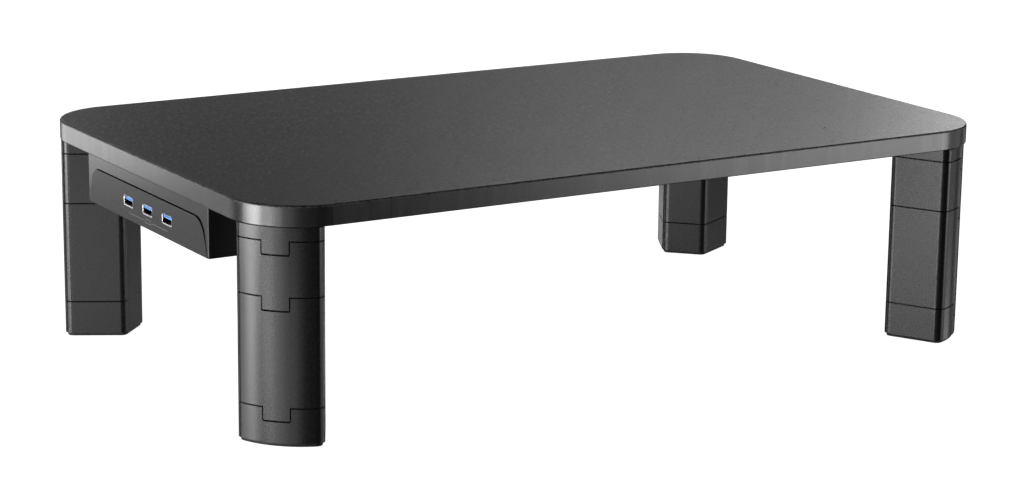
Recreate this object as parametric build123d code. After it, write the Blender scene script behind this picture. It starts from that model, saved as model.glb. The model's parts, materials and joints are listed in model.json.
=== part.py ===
from build123d import *
import math
import os

# Monitor riser stand: a laminated shelf on four legs that plug together from modules,
# with a three-port hub box screwed under the left end of the shelf.
# Frame: origin at the centre of the footprint on the desk, +X right, +Y back, +Z up, millimetres.

# ---- driving dimensions: shelf ----
SHELF_LENGTH = 500.0
SHELF_DEPTH = 312.0
SHELF_THICKNESS = 12.0
STAND_HEIGHT = 135.0
SHELF_CORNER_RADIUS = 41.5
TOP_LAMINATE = 1.2
TOP_EDGE_ROUND = 1.0
UNDERSIDE_LAMINATE = 0.5
EDGE_BAND = 1.0
BAND_ROUND = 0.5
SHELF_UNDERSIDE = STAND_HEIGHT - SHELF_THICKNESS

# ---- driving dimensions: legs, measured along the diagonal from the shelf's sharp corner ----
LEG_REVEAL = 1.1
LEG_ARC_RADIUS = 50.0
LEG_ARC_HALF_ANGLE = 30.8
LEG_INNER_DISTANCE = 60.8
LEG_INNER_HALF_WIDTH = 14.7
LEG_CORNER_RADIUS = 5.2
CAP_SEAM = 115.0
MIDDLE_SEAM = 84.0
FOOT_SEAM = 22.0
SEAM_GAP = 0.4
SEAM_ROUND = 0.25
LEG_WALL = 2.4
PLUG_CLEARANCE = 0.3
PLUG_INSET = LEG_WALL + PLUG_CLEARANCE
BORE_INSET = 5.0
PLUG_LENGTH = 10.0
LEG_FLOOR = 2.4
VENT_RADIUS = 6.0
TONGUE_WIDTH = 15.2
TONGUE_DEPTH = 7.2
TONGUE_ROUND = 0.5
TONGUE_SIDE_GAP = 0.7
TONGUE_END_GAP = 1.0
CAP_DECK = 2.8
CAP_TOP_ROUND = 0.5
CAP_SCREW_REACH = 9.0
CAP_SCREW_SPREAD = 9.5
FOOT_PAD_INSET = 1.3
FOOT_PAD_PROUD = 2.0
FOOT_PAD_SOCKET = 1.2
FOOT_PAD_ROUND = 0.4
FOOT_FLOOR = 2.4

# ---- driving dimensions: hub, drawn centred on Y and then shifted back ----
HUB_SETBACK = 2.4
HUB_SHIFT = 1.35
HUB_LENGTH = 167.5
HUB_WIDTH = 42.0
HUB_HEIGHT = 30.0
HUB_WALL = 2.2
HUB_EDGE_ROUND = 0.8
ARCH_HEIGHT = 21.9
ARCH_FOOT_HALF_WIDTH = 82.5
ARCH_TOP_HALF_WIDTH = 76.4
ARCH_CORNER_RADIUS = 12.5
ARCH_EDGE_ROUND = 0.3
FASCIA_GAP = 0.3
FASCIA_FOOT_PROUD = 0.0
FASCIA_TOP_PROUD = 0.8
FASCIA_BACK = 4.0
FASCIA_FLANGE = 0.6
COVER_THICKNESS = 2.0
COVER_RECESS = 1.2
COVER_GAP = 0.2
BOSS_RADIUS = 3.2
BOSS_BORE_DEPTH = 8.0
STANDOFF_RADIUS = 2.6

# ---- driving dimensions: ports and circuit board ----
PORT_PITCH = 26.9
PORT_SHIFT = -3.1
PORT_HEIGHT = 11.2
PORT_RIM = (13.2, 6.1)
PORT_RIM_ROUND = 1.1
PORT_RIM_DEPTH = 0.8
PORT_RIM_PROUD = 0.6
PORT_RIM_CHAMFER = 0.2
PORT_BORE = (12.2, 4.7)
PORT_BORE_RISE = 0.3
PORT_TUBE = (12.8, 5.2)
PORT_TUBE_ROUND = 0.9
PORT_LENGTH = 14.0
PORT_PLUG_LENGTH = 3.5
PORT_TONGUE = (9.9, 11.5, 2.1)
PORT_TONGUE_CHAMFER = 0.4
PORT_TONGUE_GAP = 0.2
CONTACT_SIZE = (8.8, 1.0, 0.2)
CONTACT_PLACES = (-3.75, -1.25, 1.25, 3.75)
BOARD_THICKNESS = 1.6
BOARD_GAP = 0.4
BOARD_HALF_LENGTH = 72.0
SOCKET_Y = 50.0
SOCKET_SIZE = (16.0, 12.4, 11.0)
SOCKET_PROUD = 0.4
SOCKET_SKIN = 0.5
SOCKET_CORE = (5.6, 3.2)
SOCKET_BACK = 5.0
SOCKET_CORE_SETBACK = 1.5
CHIP_SIZE = (9.0, 9.0, 1.0)
CRYSTAL_SIZE = (11.4, 4.7, 3.5)
CRYSTAL_Y = 12.35
CAPACITOR_RADIUS = 3.15
CAPACITOR_HEIGHT = 7.0
CAPACITOR_PLACES = (-40, -27, 27)

# ---- fasteners: head radius, head height, shank radius, shank length ----
LEG_SCREW = (4.0, 2.4, 1.75, 11.0)
HUB_SCREW = (3.5, 2.0, 1.7, 10.5)
COVER_SCREW = (2.4, 1.1, 1.3, 9.0)
BOARD_SCREW = (2.2, 1.5, 1.0, 3.2)
HEAD_ROUND = 0.45
DRIVE_RADIUS = 0.3
DRIVE_DEPTH = 0.6

LEG_CORNERS = {
    "front_left": (-1, -1),
    "front_right": (1, -1),
    "back_right": (1, 1),
    "back_left": (-1, 1),
}

HUB_FRONT_X = -SHELF_LENGTH / 2 + HUB_SETBACK
HUB_BACK_X = HUB_FRONT_X + HUB_WIDTH
HUB_BOTTOM = SHELF_UNDERSIDE - HUB_HEIGHT
HUB_CEILING = SHELF_UNDERSIDE - HUB_WALL
COVER_TOP = HUB_BOTTOM + COVER_RECESS + COVER_THICKNESS
PORT_Z = HUB_BOTTOM + PORT_HEIGHT
BOARD_TOP = PORT_Z + PORT_BORE_RISE - PORT_TUBE[1] / 2
BOARD_CENTRE_X = -221.5
BOSS_PLACES = [(x, y) for x in (-238.5, -210.5) for y in (-77.5, 77.5)]
MOUNTING_PLACES = [(x, y) for x in (-234.0, -218.0) for y in (-62.0, 62.0)]
STANDOFF_PLACES = [(x, y) for x in (-240.0, -213.0) for y in (-66.0, 66.0)]

parts = {}


# ---- shared helpers ----
def block(x_range, y_range, z_range):
    """Box between two corners."""
    size = [high - low for low, high in (x_range, y_range, z_range)]
    return Pos(x_range[0], y_range[0], z_range[0]) * Box(*size, align=(Align.MIN,) * 3)


def rod(radius, bottom, top, x=0.0, y=0.0):
    """Upright cylinder between two heights."""
    upright = (Align.CENTER, Align.CENTER, Align.MIN)
    return Pos(x, y, bottom) * Cylinder(radius, top - bottom, align=upright)


def prism_x(sketch, x_start, x_end):
    """Extrude a sketch drawn in (Y, Z) along X."""
    return extrude(Plane.YZ.offset(x_start) * sketch, amount=x_end - x_start)


def screw_up(screw, x, y, seat):
    """Pan-head screw driven upwards, its head hanging below the seat height."""
    head_radius, head_height, shank_radius, shank_length = screw
    head = rod(head_radius, seat - head_height, seat, x, y)
    low_rim = head.faces().sort_by(Axis.Z)[0].edges()
    head = fillet(low_rim, head_height * HEAD_ROUND)
    recess_top = seat - head_height * (1 - DRIVE_DEPTH)
    head -= rod(head_radius * DRIVE_RADIUS, seat - head_height, recess_top, x, y)
    return head + rod(shank_radius, seat, seat + shank_length, x, y)


def screw_down(screw, x, y, seat):
    """Pan-head screw driven downwards, its head standing on the seat height."""
    return Pos(0, 0, 2 * seat) * mirror(screw_up(screw, x, y, seat), about=Plane.XY)


# ---- shelf ----
def shelf_slab(inset, bottom, top):
    outline = RectangleRounded(
        SHELF_LENGTH - 2 * inset, SHELF_DEPTH - 2 * inset, SHELF_CORNER_RADIUS - inset
    )
    return extrude(Pos(0, 0, bottom) * outline, amount=top - bottom)


def make_shelf(screws):
    laminate_bottom = STAND_HEIGHT - TOP_LAMINATE
    core_bottom = SHELF_UNDERSIDE + UNDERSIDE_LAMINATE
    core = shelf_slab(EDGE_BAND, core_bottom, laminate_bottom)
    underside = shelf_slab(EDGE_BAND, SHELF_UNDERSIDE, core_bottom)
    band = shelf_slab(0, SHELF_UNDERSIDE, laminate_bottom)
    band = fillet(band.faces().sort_by(Axis.Z)[0].edges(), BAND_ROUND)
    band -= shelf_slab(EDGE_BAND, SHELF_UNDERSIDE, laminate_bottom)
    parts["board_core"] = core - screws
    parts["underside_laminate"] = underside - screws
    parts["edge_band"] = band
    laminate = shelf_slab(0, laminate_bottom, STAND_HEIGHT)
    laminate = fillet(laminate.faces().sort_by(Axis.Z)[-1].edges(), TOP_EDGE_ROUND)
    parts["top_laminate"] = laminate


# ---- legs: each is drawn on the X axis, then turned onto its corner's diagonal ----
def draw_leg_outline():
    """Bowed outer face, two straight flanks that close in, and a flat inner face."""
    apex = SHELF_CORNER_RADIUS * (math.sqrt(2) - 1) + LEG_REVEAL
    half_angle = math.radians(LEG_ARC_HALF_ANGLE)
    side_x = apex + LEG_ARC_RADIUS * (1 - math.cos(half_angle))
    side_y = LEG_ARC_RADIUS * math.sin(half_angle)
    bow = ThreePointArc((side_x, -side_y), (apex, 0), (side_x, side_y))
    flanks = Polyline(
        (side_x, side_y),
        (LEG_INNER_DISTANCE, LEG_INNER_HALF_WIDTH),
        (LEG_INNER_DISTANCE, -LEG_INNER_HALF_WIDTH),
        (side_x, -side_y),
    )
    face = make_face(bow.edges() + flanks.edges())
    return fillet(face.vertices(), LEG_CORNER_RADIUS)


LEG_OUTLINE = draw_leg_outline()
LEG_OUTER_X = LEG_OUTLINE.bounding_box().min.X
LEG_CENTRE_X = (LEG_OUTER_X + LEG_INNER_DISTANCE) / 2
CAP_SCREW_PLACES = [
    (LEG_CENTRE_X - CAP_SCREW_REACH, -CAP_SCREW_SPREAD),
    (LEG_CENTRE_X - CAP_SCREW_REACH, CAP_SCREW_SPREAD),
    (LEG_CENTRE_X + CAP_SCREW_REACH, 0),
]


def leg_prism(inset, bottom, top):
    outline = offset(LEG_OUTLINE, amount=-inset) if inset else LEG_OUTLINE
    return extrude(Pos(0, 0, bottom) * outline, amount=top - bottom)


def tongue_blank(seam, top, side_gap, end_gap):
    """Block with rounded lower corners, through the bowed face at the middle of the leg."""
    bottom = seam - TONGUE_DEPTH - end_gap
    width = TONGUE_WIDTH + 2 * side_gap
    sketch = Pos(0, (bottom + top) / 2) * Rectangle(width, top - bottom)
    lower_corners = sketch.vertices().sort_by(Axis.Y)[:2]
    sketch = fillet(lower_corners, TONGUE_ROUND + side_gap)
    return prism_x(sketch, LEG_OUTER_X - 1, LEG_OUTER_X + BORE_INSET)


def leg_plug(seam):
    """Hollow plug with the outer tongue, hanging below a seam."""
    top = seam + SEAM_GAP / 2
    root = top + SEAM_ROUND
    plug = leg_prism(PLUG_INSET, seam - PLUG_LENGTH, top)
    skin = leg_prism(0, seam - TONGUE_DEPTH, root) & tongue_blank(seam, root, 0, 0)
    bore = leg_prism(BORE_INSET, seam - PLUG_LENGTH, top)
    return plug + skin - bore


def leg_socket(seam):
    """What is cut from the top of a module so that the plug above can drop in."""
    well = leg_prism(LEG_WALL, seam - PLUG_LENGTH, seam)
    return well + tongue_blank(seam, seam, TONGUE_SIDE_GAP, TONGUE_END_GAP)


def soften(piece, height, radius=SEAM_ROUND):
    """Round the outer edges of the level face at one height."""
    rim = [edge for edge in piece.edges() if abs(edge.center().Z - height) < 0.01]
    return fillet(rim, radius)


def make_cap():
    bottom = CAP_SEAM + SEAM_GAP / 2
    cap = leg_prism(0, bottom, SHELF_UNDERSIDE)
    cap = soften(soften(cap, bottom), SHELF_UNDERSIDE, CAP_TOP_ROUND)
    cap -= leg_prism(BORE_INSET, bottom, SHELF_UNDERSIDE - CAP_DECK)
    cap += leg_plug(CAP_SEAM)
    for x, y in CAP_SCREW_PLACES:
        cap -= rod(LEG_SCREW[2], SHELF_UNDERSIDE - CAP_DECK, SHELF_UNDERSIDE, x, y)
    return cap


def make_module(bottom_seam, top_seam):
    bottom = bottom_seam + SEAM_GAP / 2
    top = top_seam - SEAM_GAP / 2
    seat = top_seam - PLUG_LENGTH
    module = leg_prism(0, bottom, top)
    module = soften(soften(module, bottom), top)
    module -= leg_prism(LEG_WALL, bottom + LEG_FLOOR, seat - LEG_FLOOR)
    module -= leg_prism(BORE_INSET, bottom, bottom + LEG_FLOOR)
    module -= leg_socket(top_seam)
    module -= rod(VENT_RADIUS, seat - LEG_FLOOR, seat, LEG_CENTRE_X)
    return module + leg_plug(bottom_seam)


def make_foot():
    top = FOOT_SEAM - SEAM_GAP / 2
    pad_top = FOOT_PAD_PROUD + FOOT_PAD_SOCKET
    foot = soften(leg_prism(0, FOOT_PAD_PROUD, top), top)
    foot -= leg_socket(FOOT_SEAM)
    foot -= leg_prism(BORE_INSET, pad_top + FOOT_FLOOR, FOOT_SEAM - PLUG_LENGTH)
    return foot - leg_prism(FOOT_PAD_INSET, FOOT_PAD_PROUD, pad_top)


def make_foot_pad():
    pad = leg_prism(FOOT_PAD_INSET, 0, FOOT_PAD_PROUD + FOOT_PAD_SOCKET)
    return fillet(pad.faces().sort_by(Axis.Z)[0].edges(), FOOT_PAD_ROUND)


def corner_place(side_x, side_y):
    """Carries the diagonal frame of a leg to one corner of the shelf."""
    turn = math.degrees(math.atan2(-side_y, -side_x))
    return Pos(side_x * SHELF_LENGTH / 2, side_y * SHELF_DEPTH / 2, 0) * Rot(0, 0, turn)


def make_legs():
    shapes = {
        "leg_cap": make_cap(),
        "short_module": make_module(MIDDLE_SEAM, CAP_SEAM),
        "tall_module": make_module(FOOT_SEAM, MIDDLE_SEAM),
        "foot": make_foot(),
        "foot_pad": make_foot_pad(),
    }
    screw_set = [
        screw_up(LEG_SCREW, x, y, SHELF_UNDERSIDE - CAP_DECK) for x, y in CAP_SCREW_PLACES
    ]
    screws = []
    for corner, sides in LEG_CORNERS.items():
        place = corner_place(*sides)
        for name, shape in shapes.items():
            parts[f"{name}_{corner}"] = place * shape
        screws += [place * screw for screw in screw_set]
    return screws


# ---- hub ----
def draw_arch(gap, foot):
    """Fascia outline in (Y, Z): sides that lean in towards two large round shoulders."""
    top = HUB_BOTTOM + ARCH_HEIGHT - gap
    lean = (ARCH_FOOT_HALF_WIDTH - ARCH_TOP_HALF_WIDTH) / ARCH_HEIGHT
    top_half = ARCH_TOP_HALF_WIDTH - gap
    foot_half = top_half + lean * (top - foot)
    corners = [(-foot_half, foot), (foot_half, foot), (top_half, top), (-top_half, top)]
    arch = make_face(Polyline(*corners, close=True))
    return fillet(arch.vertices().sort_by(Axis.Y)[-2:], ARCH_CORNER_RADIUS - gap)


def make_housing():
    half = HUB_LENGTH / 2
    housing = block((HUB_FRONT_X, HUB_BACK_X), (-half, half), (HUB_BOTTOM, SHELF_UNDERSIDE))
    housing = fillet(housing.edges().filter_by(Axis.Z), HUB_EDGE_ROUND)
    housing -= prism_x(draw_arch(0, HUB_BOTTOM - 1), HUB_FRONT_X - 1, HUB_FRONT_X + HUB_WALL)
    front_edges = housing.faces().sort_by(Axis.X)[0].edges()
    arch_edges = [edge for edge in front_edges if is_arch_edge(edge)]
    housing = fillet(arch_edges, ARCH_EDGE_ROUND)
    housing -= block(
        (HUB_FRONT_X + HUB_WALL, HUB_BACK_X - HUB_WALL),
        (-half + HUB_WALL, half - HUB_WALL),
        (HUB_BOTTOM, HUB_CEILING),
    )
    pocket_back = HUB_FRONT_X + FASCIA_BACK + FASCIA_GAP
    housing -= prism_x(draw_arch(0, HUB_BOTTOM - 1), HUB_FRONT_X + HUB_WALL, pocket_back)
    for x, y in BOSS_PLACES:
        housing += rod(BOSS_RADIUS, COVER_TOP, HUB_CEILING, x, y)
        housing -= rod(COVER_SCREW[2], COVER_TOP, COVER_TOP + BOSS_BORE_DEPTH, x, y)
    for x, y in MOUNTING_PLACES:
        housing -= rod(HUB_SCREW[2], HUB_CEILING, SHELF_UNDERSIDE, x, y)
    _, width, height = SOCKET_SIZE
    return housing - block(
        (HUB_BACK_X - HUB_WALL, HUB_BACK_X),
        (SOCKET_Y - width / 2, SOCKET_Y + width / 2),
        (BOARD_TOP, BOARD_TOP + height),
    )


def is_arch_edge(edge):
    """True for the front edges that border the arch, and not the box's own outline."""
    centre = edge.center()
    inside_sides = abs(centre.Y) < HUB_LENGTH / 2 - HUB_EDGE_ROUND - 0.05
    inside_height = HUB_BOTTOM + 0.05 < centre.Z < SHELF_UNDERSIDE - 0.05
    return inside_sides and inside_height


def port_places():
    return [(index + 1, PORT_SHIFT + (1 - index) * PORT_PITCH) for index in range(3)]


def make_fascia():
    """Arched panel whose front leans out of the housing towards its top."""
    outer_x = HUB_FRONT_X - 2 * FASCIA_TOP_PROUD
    front = prism_x(draw_arch(FASCIA_GAP, HUB_BOTTOM), outer_x, HUB_FRONT_X + FASCIA_BACK)
    flange_range = (HUB_FRONT_X + HUB_WALL, HUB_FRONT_X + FASCIA_BACK)
    flange = prism_x(draw_arch(-FASCIA_FLANGE, COVER_TOP), *flange_range)
    inner_half = HUB_LENGTH / 2 - HUB_WALL - COVER_GAP
    flange &= block(flange_range, (-inner_half, inner_half), (COVER_TOP, HUB_CEILING))
    lean = (FASCIA_TOP_PROUD - FASCIA_FOOT_PROUD) / ARCH_HEIGHT
    low_z = HUB_BOTTOM - 1
    high_z = HUB_CEILING
    low_x = HUB_FRONT_X - FASCIA_FOOT_PROUD + lean
    high_x = low_x - lean * (high_z - low_z)
    far_x = outer_x - 1
    wedge = make_face(
        Polyline((far_x, low_z), (low_x, low_z), (high_x, high_z), (far_x, high_z), close=True)
    )
    fascia = front + flange - extrude(Plane.XZ * wedge, amount=HUB_LENGTH, both=True)
    for _, y in port_places():
        hole = Pos(y, PORT_Z) * RectangleRounded(*PORT_RIM, PORT_RIM_ROUND)
        fascia -= prism_x(hole, far_x, HUB_FRONT_X + FASCIA_BACK)
    return fascia


def make_port_shell(mouth, back):
    """Rim with a tall lower lip, in front of a tube."""
    bore = Pos(0, PORT_BORE_RISE) * RectangleRounded(*PORT_BORE, PORT_TUBE_ROUND / 2)
    rim_face = RectangleRounded(*PORT_RIM, PORT_RIM_ROUND) - bore
    rim = prism_x(rim_face, mouth, mouth + PORT_RIM_DEPTH)
    mouth_edges = rim.faces().sort_by(Axis.X)[0].inner_wires().edges()
    rim = chamfer(mouth_edges, PORT_RIM_CHAMFER)
    tube_face = Pos(0, PORT_BORE_RISE) * RectangleRounded(*PORT_TUBE, PORT_TUBE_ROUND) - bore
    return rim + prism_x(tube_face, mouth + PORT_RIM_DEPTH, back)


def make_port_tongue(plug_front, back):
    """Insulator that plugs the back of the tube, with a tongue under the roof of the bore."""
    length, width, thickness = PORT_TONGUE
    top = PORT_BORE_RISE + PORT_BORE[1] / 2 - PORT_TONGUE_GAP
    tongue = block((plug_front - length, plug_front), (-width / 2, width / 2), (top - thickness, top))
    tip_edges = tongue.faces().sort_by(Axis.X)[0].edges().filter_by(Axis.Y)
    tongue = chamfer(tip_edges, PORT_TONGUE_CHAMFER)
    bore = Pos(0, PORT_BORE_RISE) * RectangleRounded(*PORT_BORE, PORT_TUBE_ROUND / 2)
    return tongue + prism_x(bore, plug_front, back), top - thickness


def make_port(y):
    """Metal shell, plastic tongue and contact strips of one downstream port."""
    mouth = HUB_FRONT_X - PORT_RIM_PROUD
    back = mouth + PORT_LENGTH
    plug_front = back - PORT_PLUG_LENGTH
    shell = make_port_shell(mouth, back)
    tongue, tongue_bottom = make_port_tongue(plug_front, back)
    length, width, thickness = CONTACT_SIZE
    contacts = [
        block(
            (plug_front - length, plug_front),
            (place - width / 2, place + width / 2),
            (tongue_bottom - thickness, tongue_bottom),
        )
        for place in CONTACT_PLACES
    ]
    place = Pos(0, y, PORT_Z)
    return place * shell, place * tongue, [place * strip for strip in contacts]


def make_upstream_socket():
    length, width, height = SOCKET_SIZE
    mouth = HUB_BACK_X + SOCKET_PROUD
    back = mouth - length
    centre = Pos(SOCKET_Y, BOARD_TOP + height / 2)
    bore = centre * Rectangle(width - 2 * SOCKET_SKIN, height - 2 * SOCKET_SKIN)
    shell = prism_x(centre * Rectangle(width, height) - bore, back, mouth)
    insert = prism_x(bore, back, back + SOCKET_BACK)
    core_end = mouth - SOCKET_CORE_SETBACK
    insert += prism_x(centre * Rectangle(*SOCKET_CORE), back + SOCKET_BACK, core_end)
    return shell, insert


def make_bottom_cover():
    inner_half = HUB_LENGTH / 2 - HUB_WALL - COVER_GAP
    cover = block(
        (HUB_FRONT_X + FASCIA_BACK + COVER_GAP, HUB_BACK_X - HUB_WALL - COVER_GAP),
        (-inner_half, inner_half),
        (HUB_BOTTOM + COVER_RECESS, COVER_TOP),
    )
    for x, y in STANDOFF_PLACES:
        cover += rod(STANDOFF_RADIUS, COVER_TOP, BOARD_TOP - BOARD_THICKNESS, x, y)
        cover -= rod(BOARD_SCREW[2], BOARD_TOP - BOARD_SCREW[3], BOARD_TOP, x, y)
    for x, y in BOSS_PLACES:
        cover -= rod(COVER_SCREW[2], HUB_BOTTOM, COVER_TOP, x, y)
    return cover


def make_circuit_board():
    board = block(
        (HUB_FRONT_X + FASCIA_BACK + BOARD_GAP, HUB_BACK_X - HUB_WALL - BOARD_GAP),
        (-BOARD_HALF_LENGTH, BOARD_HALF_LENGTH),
        (BOARD_TOP - BOARD_THICKNESS, BOARD_TOP),
    )
    for x, y in STANDOFF_PLACES:
        board -= rod(BOARD_SCREW[2], BOARD_TOP - BOARD_THICKNESS, BOARD_TOP, x, y)
    return board


def board_component(size, y):
    """Block standing on the middle line of the circuit board."""
    length, width, height = size
    return block(
        (BOARD_CENTRE_X - length / 2, BOARD_CENTRE_X + length / 2),
        (y - width / 2, y + width / 2),
        (BOARD_TOP, BOARD_TOP + height),
    )


def make_hub():
    shapes = {
        "hub_housing": make_housing(),
        "hub_fascia": make_fascia(),
        "hub_bottom_cover": make_bottom_cover(),
        "hub_circuit_board": make_circuit_board(),
    }
    contacts = []
    for index, y in port_places():
        shell, tongue, strips = make_port(y)
        shapes[f"usb_port_shell_{index}"] = shell
        shapes[f"usb_port_tongue_{index}"] = tongue
        contacts += strips
    shapes["upstream_socket_shell"], shapes["upstream_socket_insert"] = make_upstream_socket()
    shapes["hub_controller_chip"] = board_component(CHIP_SIZE, 0)
    shapes["hub_crystal"] = board_component(CRYSTAL_SIZE, CRYSTAL_Y)

    can_top = BOARD_TOP + CAPACITOR_HEIGHT
    cover_seat = HUB_BOTTOM + COVER_RECESS
    groups = {
        "usb_contacts": contacts,
        "hub_capacitors": [
            rod(CAPACITOR_RADIUS, BOARD_TOP, can_top, BOARD_CENTRE_X, y) for y in CAPACITOR_PLACES
        ],
        "hub_mounting_screws": [screw_up(HUB_SCREW, *p, HUB_CEILING) for p in MOUNTING_PLACES],
        "hub_cover_screws": [screw_up(COVER_SCREW, *p, cover_seat) for p in BOSS_PLACES],
        "circuit_board_screws": [screw_down(BOARD_SCREW, *p, BOARD_TOP) for p in STANDOFF_PLACES],
    }
    place = Pos(0, HUB_SHIFT, 0)
    for name, shape in shapes.items():
        parts[name] = place * shape
    placed = {name: [place * shape for shape in group] for name, group in groups.items()}
    for name, group in placed.items():
        parts[name] = Compound(group)
    return placed["hub_mounting_screws"]


hub_screws = make_hub()
leg_screws = make_legs()
parts["leg_cap_screws"] = Compound(leg_screws)
make_shelf(hub_screws + leg_screws)

os.makedirs("parts", exist_ok=True)
for name, shape in parts.items():
    export_step(shape, f"parts/{name}.step")
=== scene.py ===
import json
import math

import bmesh
import bpy
from mathutils import Matrix, Vector


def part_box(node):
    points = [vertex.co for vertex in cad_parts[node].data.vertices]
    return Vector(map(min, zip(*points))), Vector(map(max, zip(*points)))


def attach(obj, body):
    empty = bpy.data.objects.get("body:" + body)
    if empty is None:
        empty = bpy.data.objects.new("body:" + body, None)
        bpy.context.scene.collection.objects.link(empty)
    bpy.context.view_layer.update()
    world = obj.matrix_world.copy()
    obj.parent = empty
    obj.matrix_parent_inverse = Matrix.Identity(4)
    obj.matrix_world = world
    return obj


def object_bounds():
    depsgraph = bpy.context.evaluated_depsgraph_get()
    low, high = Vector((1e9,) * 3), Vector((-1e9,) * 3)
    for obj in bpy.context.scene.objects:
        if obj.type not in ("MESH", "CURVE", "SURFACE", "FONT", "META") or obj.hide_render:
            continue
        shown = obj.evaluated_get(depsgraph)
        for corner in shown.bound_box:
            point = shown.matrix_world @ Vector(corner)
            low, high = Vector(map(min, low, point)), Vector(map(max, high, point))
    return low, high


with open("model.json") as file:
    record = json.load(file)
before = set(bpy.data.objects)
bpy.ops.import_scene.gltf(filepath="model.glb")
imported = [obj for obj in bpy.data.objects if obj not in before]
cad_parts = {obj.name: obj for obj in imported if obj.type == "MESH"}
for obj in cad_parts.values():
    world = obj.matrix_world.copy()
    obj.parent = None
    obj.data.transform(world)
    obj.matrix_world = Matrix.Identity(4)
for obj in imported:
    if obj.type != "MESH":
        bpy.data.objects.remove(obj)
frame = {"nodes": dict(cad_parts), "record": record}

# Looks of a monitor riser stand: a laminated shelf on plug-together legs, with a USB hub box
# under its left end. The CAD nodes stay as they are; materials, one inked line, a camera and
# a studio are added. Metres, +X right, +Y back, +Z up.
MM = 0.001
cad_low, cad_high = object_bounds()
nodes = frame["nodes"]


# ---- camera: the photograph's viewing angle ----
CAMERA_PLACE = Vector((-0.89019, -1.46122, 0.47139))
CAMERA_YAW = math.radians(31.302)
CAMERA_PITCH = math.radians(13.776)
CAMERA_ROLL = math.radians(0.69)
CAMERA_LENS = 99.32
SENSOR_WIDTH = 36.0
NEAREST_SEEN = 0.01
FARTHEST_SEEN = 100.0


def make_camera():
    data = bpy.data.cameras.new("camera")
    data.lens = CAMERA_LENS
    data.sensor_width = SENSOR_WIDTH
    data.clip_start = NEAREST_SEEN
    data.clip_end = FARTHEST_SEEN
    camera = bpy.data.objects.new("camera", data)
    turn = (
        Matrix.Rotation(-CAMERA_YAW, 4, "Z")
        @ Matrix.Rotation(math.pi / 2 - CAMERA_PITCH, 4, "X")
        @ Matrix.Rotation(CAMERA_ROLL, 4, "Z")
    )
    camera.matrix_world = Matrix.Translation(CAMERA_PLACE) @ turn
    bpy.context.scene.collection.objects.link(camera)
    bpy.context.scene.camera = camera


# ---- material building blocks ----
class Surface:
    """A node material with a Principled shader, and short calls for the nodes it is built from."""

    def __init__(self, name, color, roughness, metallic=0.0, specular=0.5):
        self.material = bpy.data.materials.new(name)
        self.material.use_nodes = True
        self.tree = self.material.node_tree
        self.shader = self.tree.nodes["Principled BSDF"]
        self.shader.inputs["Base Color"].default_value = (*color, 1.0)
        self.shader.inputs["Roughness"].default_value = roughness
        self.shader.inputs["Metallic"].default_value = metallic
        self.shader.inputs["Specular IOR Level"].default_value = specular
        self.normal = None

    def node(self, kind, **values):
        node = self.tree.nodes.new(kind)
        for key, value in values.items():
            setattr(node, key, value)
        return node

    def join(self, out_socket, in_socket):
        self.tree.links.new(out_socket, in_socket)

    def place(self, stretch=(1.0, 1.0, 1.0)):
        """Object coordinates in metres, stretched along the axes."""
        coords = self.node("ShaderNodeTexCoord")
        mapping = self.node("ShaderNodeMapping")
        mapping.inputs["Scale"].default_value = stretch
        self.join(coords.outputs["Object"], mapping.inputs["Vector"])
        return mapping.outputs["Vector"]

    def noise(self, scale, detail=2.0, rough=0.5, stretch=(1.0, 1.0, 1.0)):
        node = self.node("ShaderNodeTexNoise")
        node.inputs["Scale"].default_value = scale
        node.inputs["Detail"].default_value = detail
        node.inputs["Roughness"].default_value = rough
        self.join(self.place(stretch), node.inputs["Vector"])
        return node.outputs["Fac"]

    def cells(self, scale, stretch=(1.0, 1.0, 1.0)):
        node = self.node("ShaderNodeTexVoronoi")
        node.inputs["Scale"].default_value = scale
        self.join(self.place(stretch), node.inputs["Vector"])
        return node.outputs["Distance"]

    def spread(self, source, low, high, from_low=0.3, from_high=0.7):
        """Maps a 0 to 1 pattern onto a range."""
        node = self.node("ShaderNodeMapRange")
        node.inputs["From Min"].default_value = from_low
        node.inputs["From Max"].default_value = from_high
        node.inputs["To Min"].default_value = low
        node.inputs["To Max"].default_value = high
        self.join(source, node.inputs["Value"])
        return node.outputs["Result"]

    def tint(self, source, dark, light, from_low=0.3, from_high=0.7):
        """Base colour between two colours, by a pattern."""
        ramp = self.node("ShaderNodeValToRGB")
        ramp.color_ramp.elements[0].position = from_low
        ramp.color_ramp.elements[1].position = from_high
        ramp.color_ramp.elements[0].color = (*dark, 1.0)
        ramp.color_ramp.elements[1].color = (*light, 1.0)
        self.join(source, ramp.inputs["Fac"])
        self.join(ramp.outputs["Color"], self.shader.inputs["Base Color"])

    def roughness(self, source, low, high):
        self.join(self.spread(source, low, high), self.shader.inputs["Roughness"])

    def bump(self, source, height_mm, strength=1.0):
        """Bump of a true height. Later bumps add to earlier ones."""
        node = self.node("ShaderNodeBump")
        node.inputs["Strength"].default_value = strength
        node.inputs["Distance"].default_value = height_mm * MM
        self.join(source, node.inputs["Height"])
        if self.normal:
            self.join(self.normal, node.inputs["Normal"])
        self.normal = node.outputs["Normal"]
        self.join(self.normal, self.shader.inputs["Normal"])


def grey(value, warm=0.0):
    """A grey, or with warm above zero a slightly yellowish one."""
    return (value * (1 + warm), value, value * (1 - warm))


# ---- materials ----
def shelf_top_surface():
    """Dark grey laminate pressed with a fine pebble grain."""
    surface = Surface("shelf_top_laminate", grey(0.055), 0.33)
    grain = surface.noise(430, 4.0, 0.7)
    surface.tint(grain, grey(0.012), grey(0.115), 0.36, 0.64)
    surface.roughness(surface.noise(440, 3.0, 0.6), 0.255, 0.405)
    surface.bump(surface.noise(420, 4.0, 0.6), 0.14)
    surface.bump(surface.cells(800), 0.04)
    return surface.material


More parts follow.
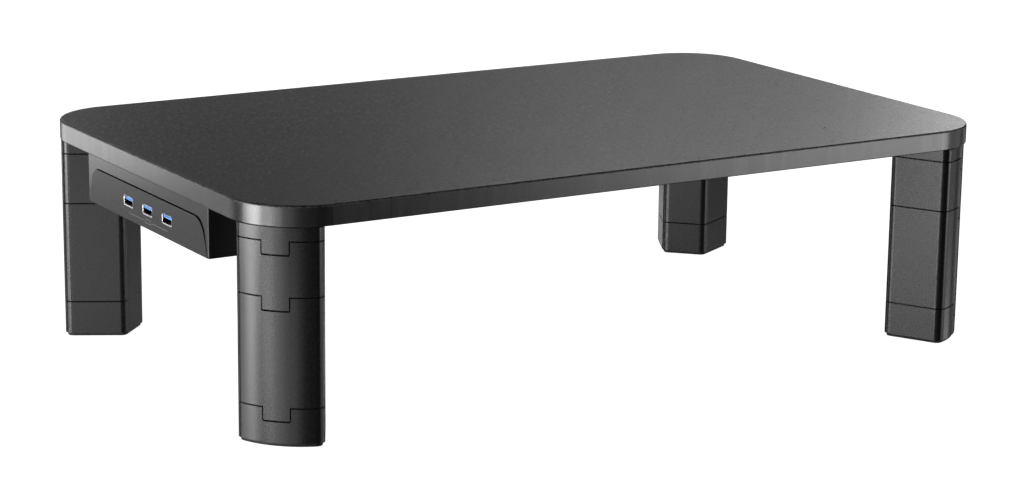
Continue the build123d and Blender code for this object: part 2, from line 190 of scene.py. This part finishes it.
def shelf_edge_surface():
    """Satin edge band with faint upright streaks."""
    surface = Surface("shelf_edge_band", grey(0.03), 0.25, specular=0.85)
    streaks = surface.noise(160, 4.0, 0.6, (1.0, 1.0, 0.08))
    surface.tint(streaks, grey(0.022), grey(0.036))
    surface.roughness(streaks, 0.22, 0.26)
    surface.bump(surface.noise(700, 3.0), 0.004)
    return surface.material


def underside_surface():
    surface = Surface("shelf_underside_laminate", grey(0.028), 0.5)
    surface.tint(surface.noise(500, 3.0), grey(0.022), grey(0.034))
    surface.bump(surface.noise(700, 2.0), 0.02)
    return surface.material


def core_surface():
    """Raw particle board: pale chips in a darker binder."""
    surface = Surface("particle_board", (0.48, 0.36, 0.24), 0.85)
    chips = surface.cells(420, (1.0, 1.0, 2.5))
    surface.tint(chips, (0.33, 0.22, 0.12), (0.62, 0.48, 0.32), 0.1, 0.7)
    surface.bump(chips, 0.15)
    return surface.material


def leg_surface():
    """Satin black moulded plastic with a fine spark texture."""
    surface = Surface("leg_moulded_plastic", grey(0.014), 0.26)
    surface.tint(surface.noise(900, 3.0), grey(0.0134), grey(0.0156))
    surface.roughness(surface.noise(900, 3.0), 0.2585, 0.2615)
    surface.bump(surface.noise(900, 2.0), 0.0005)
    return surface.material


def rubber_surface():
    surface = Surface("foot_rubber", grey(0.02), 0.75)
    surface.tint(surface.noise(240, 3.0), grey(0.015), grey(0.028))
    surface.bump(surface.noise(1200, 3.0), 0.03)
    return surface.material


def hub_surface():
    """Satin moulded plastic, a little smoother than the legs."""
    surface = Surface("hub_moulded_plastic", grey(0.016), 0.25)
    surface.tint(surface.noise(900, 3.0), grey(0.0148), grey(0.0172))
    surface.roughness(surface.noise(900, 3.0), 0.2515, 0.2555)
    surface.bump(surface.noise(900, 2.0), 0.0005)
    return surface.material


def fascia_surface():
    """Matt plastic with a coarser, deeper spark texture than the housing."""
    surface = Surface("fascia_matt_plastic", grey(0.022), 0.35)
    surface.tint(surface.noise(700, 3.0), grey(0.015), grey(0.03))
    surface.roughness(surface.noise(620, 3.0, 0.6), 0.32, 0.39)
    surface.bump(surface.noise(800, 3.0), 0.012)
    return surface.material


def port_metal_surface():
    """Bright nickel with faint rolling lines."""
    surface = Surface("port_nickel", grey(0.9), 0.22, metallic=1.0)
    surface.roughness(surface.noise(1500, 2.0, 0.5, (0.05, 1.0, 1.0)), 0.16, 0.3)
    return surface.material


MOUTH_BRIGHT_DEPTH = 0.9 * MM
MOUTH_DARK_DEPTH = 2.6 * MM
MOUTH_NICKEL = (0.96, 0.93, 0.94)
# Painted shade: the dark colour below stands for the shade down the tube and inside its back wall.
MOUTH_PAINTED_SHADE = (0.05, 0.035, 0.03)


def port_mouth_surface(shell):
    """Bright nickel rim, with painted shade darkening it down the tube and on the inside of its
    back wall.
    """
    surface = Surface("port_mouth_nickel_" + shell[-1], grey(0.95), 0.24, metallic=1.0)
    low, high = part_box(shell)
    bright_to = low[0] + MOUTH_BRIGHT_DEPTH
    dark_from = low[0] + MOUTH_DARK_DEPTH
    middle = (low[1] + high[1]) / 2
    place = surface.node("ShaderNodeSeparateXYZ")
    surface.join(surface.place(), place.inputs["Vector"])
    facing = surface.node("ShaderNodeSeparateXYZ")
    geometry = surface.node("ShaderNodeNewGeometry")
    surface.join(geometry.outputs["Normal"], facing.inputs["Vector"])
    depth = surface.spread(place.outputs["X"], 0.0, 1.0, bright_to, dark_from)
    back_half = surface.spread(place.outputs["Y"], 0.0, 1.0, middle, middle + MM)
    turned_away = surface.spread(facing.outputs["Y"], 1.0, 0.0, -0.9, -0.6)
    back_wall = surface.node("ShaderNodeMath", operation="MULTIPLY")
    surface.join(back_half, back_wall.inputs[0])
    surface.join(turned_away, back_wall.inputs[1])
    # Painted shade: darker with depth down the tube and on the inside of its back wall, where shade
    # falls.
    painted_shade = surface.node("ShaderNodeMath", operation="MAXIMUM")
    surface.join(depth, painted_shade.inputs[0])
    surface.join(back_wall.outputs["Value"], painted_shade.inputs[1])
    surface.tint(painted_shade.outputs["Value"], MOUTH_NICKEL, MOUTH_PAINTED_SHADE, 0.0, 1.0)
    surface.roughness(surface.noise(1500, 2.0, 0.5, (0.05, 1.0, 1.0)), 0.2, 0.3)
    return surface.material


def port_blue_surface():
    """Light blue insulator with faint moulding marks."""
    surface = Surface("port_blue_insulator", (0.12, 0.36, 0.85), 0.35)
    surface.tint(surface.noise(600, 2.0), (0.1, 0.32, 0.8), (0.15, 0.4, 0.9))
    surface.bump(surface.noise(2000, 2.0), 0.01)
    return surface.material


def gold_surface():
    surface = Surface("contact_gold", (0.83, 0.62, 0.25), 0.25, metallic=1.0)
    surface.roughness(surface.noise(2500, 2.0), 0.2, 0.35)
    return surface.material


def circuit_board_surface():
    """Green solder mask over faint straight tracks."""
    surface = Surface("circuit_board_mask", (0.015, 0.12, 0.05), 0.35)
    tracks = surface.noise(900, 1.0, 0.4, (0.2, 1.0, 1.0))
    surface.tint(tracks, (0.01, 0.09, 0.035), (0.03, 0.19, 0.08), 0.45, 0.55)
    surface.bump(tracks, 0.03)
    return surface.material


def chip_surface():
    surface = Surface("chip_package", grey(0.02), 0.55)
    surface.tint(surface.noise(800, 2.0), grey(0.016), grey(0.026))
    surface.bump(surface.noise(2500, 2.0), 0.01)
    return surface.material


def capacitor_surface():
    surface = Surface("capacitor_can", grey(0.72), 0.28, metallic=1.0)
    surface.roughness(surface.noise(900, 2.0, 0.5, (1.0, 1.0, 0.1)), 0.22, 0.36)
    return surface.material


def screw_surface():
    surface = Surface("zinc_plated_steel", grey(0.6, 0.02), 0.3, metallic=1.0)
    surface.roughness(surface.noise(700, 3.0), 0.24, 0.42)
    surface.bump(surface.noise(1800, 2.0), 0.01)
    return surface.material


def ink_surface():
    surface = Surface("port_line_ink", grey(0.2), 0.5)
    surface.tint(surface.noise(1800, 2.0), grey(0.17), grey(0.24))
    return surface.material


SURFACES = {
    "shelf_top": shelf_top_surface,
    "shelf_edge": shelf_edge_surface,
    "shelf_underside": underside_surface,
    "shelf_core": core_surface,
    "leg_plastic": leg_surface,
    "foot_rubber": rubber_surface,
    "screw_steel": screw_surface,
    "hub_plastic": hub_surface,
    "fascia_plastic": fascia_surface,
    "port_metal": port_metal_surface,
    "port_blue": port_blue_surface,
    "contact_gold": gold_surface,
    "circuit_board": circuit_board_surface,
    "chip_plastic": chip_surface,
    "capacitor_can": capacitor_surface,
}


def dress_nodes():
    """Gives each CAD node the surface of its material slot, and the port shells their own."""
    made = {slot: make() for slot, make in SURFACES.items()}
    for subpart in frame["record"]["subparts"]:
        name = subpart["node"]
        if name.startswith("usb_port_shell"):
            material = port_mouth_surface(name)
        else:
            material = made[subpart["material_slot"]]
        mesh = nodes[name].data
        mesh.materials.clear()
        mesh.materials.append(material)


# ---- printed line that groups the ports, with a plug-shaped outline in its middle ----
INK_PROUD = 0.06 * MM
LINE_WIDTH = 0.4 * MM
LINE_DROP = 3.7 * MM
SIGN_LENGTH = 8.4 * MM
SIGN_HEIGHT = 2.6 * MM
SIGN_CLEARANCE = 1.6 * MM
END_STEPS = 6
RAY_START = 10 * MM


def slope_point(y, z):
    """Point just in front of the fascia's slanted face, found by casting a ray at the CAD mesh."""
    start = Vector((cad_low.x - RAY_START, y, z))
    hit, place, normal, _ = nodes["hub_fascia"].ray_cast(start, Vector((1, 0, 0)))
    if not hit:
        raise RuntimeError("the fascia has no surface there")
    return place + normal * INK_PROUD


def round_bar(low_y, high_y, z, width):
    """Outline of a bar with round ends, as (y, z) points."""
    rim = []
    for end_y, turn in ((high_y, 0.0), (low_y, math.pi)):
        for step in range(END_STEPS + 1):
            angle = turn - math.pi / 2 + math.pi * step / END_STEPS
            rim.append((end_y + math.cos(angle) * width / 2, z + math.sin(angle) * width / 2))
    return rim


def add_walls(mesh, top, low):
    """A strip of faces between two closed rims."""
    for index in range(len(top)):
        after = (index + 1) % len(top)
        mesh.faces.new((top[after], top[index], low[index], low[after]))


def add_layer(mesh, rim):
    """Front and back points of an inked outline; the back ones sit inside the fascia."""
    top = [mesh.verts.new(slope_point(y, z)) for y, z in rim]
    low = [mesh.verts.new(vert.co + Vector((2 * INK_PROUD, 0, 0))) for vert in top]
    return top, low


def add_bar(mesh, low_y, high_y, z):
    """A filled bar with round ends."""
    top, low = add_layer(mesh, round_bar(low_y, high_y, z, LINE_WIDTH))
    mesh.faces.new(top)
    mesh.faces.new(list(reversed(low)))
    add_walls(mesh, top, low)


def add_sign(mesh, middle, z):
    """An outline with round ends, like the mouth of a plug."""
    straight = (SIGN_LENGTH - SIGN_HEIGHT) / 2
    low_y, high_y = middle - straight, middle + straight
    outer_top, outer_low = add_layer(mesh, round_bar(low_y, high_y, z, SIGN_HEIGHT))
    hole_height = SIGN_HEIGHT - 2 * LINE_WIDTH
    inner_top, inner_low = add_layer(mesh, round_bar(low_y, high_y, z, hole_height))
    add_walls(mesh, outer_top, outer_low)
    add_walls(mesh, inner_low, inner_top)
    add_walls(mesh, inner_top, outer_top)
    add_walls(mesh, outer_low, inner_low)


def make_ink_line():
    """Two bars in line under the ports, with the sign between them."""
    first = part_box("usb_port_shell_1")
    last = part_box("usb_port_shell_3")
    high_y = (first[0][1] + first[1][1]) / 2
    low_y = (last[0][1] + last[1][1]) / 2
    middle = (low_y + high_y) / 2
    line_z = first[0][2] - LINE_DROP
    gap = SIGN_LENGTH / 2 + SIGN_CLEARANCE
    mesh = bmesh.new()
    add_bar(mesh, middle + gap, high_y, line_z)
    add_bar(mesh, low_y, middle - gap, line_z)
    add_sign(mesh, middle, line_z)
    bmesh.ops.recalc_face_normals(mesh, faces=mesh.faces)
    data = bpy.data.meshes.new("port_group_line")
    mesh.to_mesh(data)
    mesh.free()
    piece = bpy.data.objects.new("port_group_line", data)
    bpy.context.scene.collection.objects.link(piece)
    data.materials.append(ink_surface())
    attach(piece, "shelf")


# ---- studio: soft boxes on all sides of the stand, and a floor that only the camera sees ----
STUDIO_CENTRE = Vector((0, 0, 0.09))
FLOOR_REACH = 12.0
FLOOR_DROP = 0.2 * MM
# Each row: azimuth and elevation as seen from the stand, width and height, all in degrees,
# then the distance in metres and the brightness, where 1 looks white.
# The first two rows are the fill lights. The other thirty were made by another program: a
# least-squares fit of test renders to the photograph picked them out of a grid of 257 boxes
# and set their brightness. Twenty boxes have their centre below the floor, which casts no
# shadow, so a real studio could not be lit this way.
SOFT_BOXES = (
    (-25, -1, 50, 52, 3, 0.5),
    (-25, 40, 50, 30, 3, 0.25),
    (18, -14, 12, 4, 3, 0.545),
    (18, -9.5, 12, 5, 3, 0.485),
    (37.5, 18, 15, 14, 3, 4.28),
    (42, -18, 12, 4, 3, 3.1),
    (45, 31.5, 30, 13, 3, 3.96),
    (52.5, 6.5, 15, 9, 3, 0.409),
    (66, -14, 12, 4, 3, 0.851),
    (67.5, 6.5, 15, 9, 3, 0.422),
    (82.5, 18, 15, 14, 3, 1.39),
    (114, -9.5, 12, 5, 3, 0.801),
    (117.5, -1, 11, 14, 0.8, 2.13),
    (126, -18, 12, 4, 3, 2.14),
    (126, -14, 12, 4, 3, 1.91),
    (128.5, -1, 11, 14, 0.8, 2.34),
    (162, -18, 12, 4, 3, 5.77),
    (174, -14, 12, 4, 3, 13.3),
    (174, -1, 12, 14, 0.9, 9.61),
    (186, -15, 12, 14, 0.9, 3.43),
    (186, -9.5, 12, 5, 3, 3.03),
    (186, -1, 12, 14, 0.9, 8.02),
    (187.5, -2.5, 15, 9, 3, 11.3),
    (198, -14, 12, 4, 3, 12.8),
    (210, -15, 12, 14, 0.9, 2.29),
    (210, -1, 12, 14, 0.9, 2.2),
    (222, -15, 12, 14, 0.9, 1.22),
    (234, -14, 12, 4, 3, 0.912),
    (306, -9.5, 12, 5, 3, 4.26),
    (307.5, -2.5, 15, 9, 3, 3.22),
    (318, -9.5, 12, 5, 3, 6.31),
    (354, -18, 12, 4, 3, 3.7),
)


def make_floor():
    """A white floor that only the camera sees, so it neither lights the stand nor mirrors in it."""
    reach = FLOOR_REACH
    corners = [(-reach, -reach, 0), (reach, -reach, 0), (reach, reach, 0), (-reach, reach, 0)]
    data = bpy.data.meshes.new("floor")
    data.from_pydata(corners, [], [(0, 1, 2, 3)])
    floor = bpy.data.objects.new("floor", data)
    floor.location.z = cad_low.z - FLOOR_DROP
    bpy.context.scene.collection.objects.link(floor)
    surface = Surface("floor_paper", grey(0.9), 0.9, specular=0.0)
    surface.shader.inputs["Emission Color"].default_value = (1.0, 1.0, 1.0, 1.0)
    surface.shader.inputs["Emission Strength"].default_value = 1.0
    data.materials.append(surface.material)
    floor.visible_diffuse = False
    floor.visible_glossy = False
    floor.visible_shadow = False


def soft_box(name, azimuth, elevation, width, height, distance, brightness):
    """A rectangular light that faces the stand."""
    turn = math.radians(azimuth)
    rise = math.radians(elevation)
    data = bpy.data.lights.new(name, "AREA")
    data.shape = "RECTANGLE"
    data.size = 2 * distance * math.tan(math.radians(width / 2)) * math.cos(rise)
    data.size_y = 2 * distance * math.tan(math.radians(height / 2))
    data.energy = math.pi * data.size * data.size_y * brightness
    light = bpy.data.objects.new(name, data)
    level = math.cos(rise)
    away = Vector((math.cos(turn) * level, math.sin(turn) * level, math.sin(rise)))
    light.location = STUDIO_CENTRE + distance * away
    light.rotation_euler = (-away).to_track_quat("-Z", "Y").to_euler()
    light.visible_camera = False
    bpy.context.scene.collection.objects.link(light)


def make_studio():
    """Floor, soft boxes and a white backdrop that lights nothing."""
    make_floor()
    for index, values in enumerate(SOFT_BOXES):
        soft_box(f"soft_box_{index}", *values)
    world = bpy.data.worlds.new("studio")
    world.use_nodes = True
    world.node_tree.nodes["Background"].inputs["Color"].default_value = (1, 1, 1, 1)
    world.cycles_visibility.diffuse = False
    world.cycles_visibility.glossy = False
    world.cycles_visibility.transmission = False
    bpy.context.scene.world = world
    bpy.context.scene.view_settings.view_transform = "Standard"


make_camera()
dress_nodes()
make_ink_line()
make_studio()
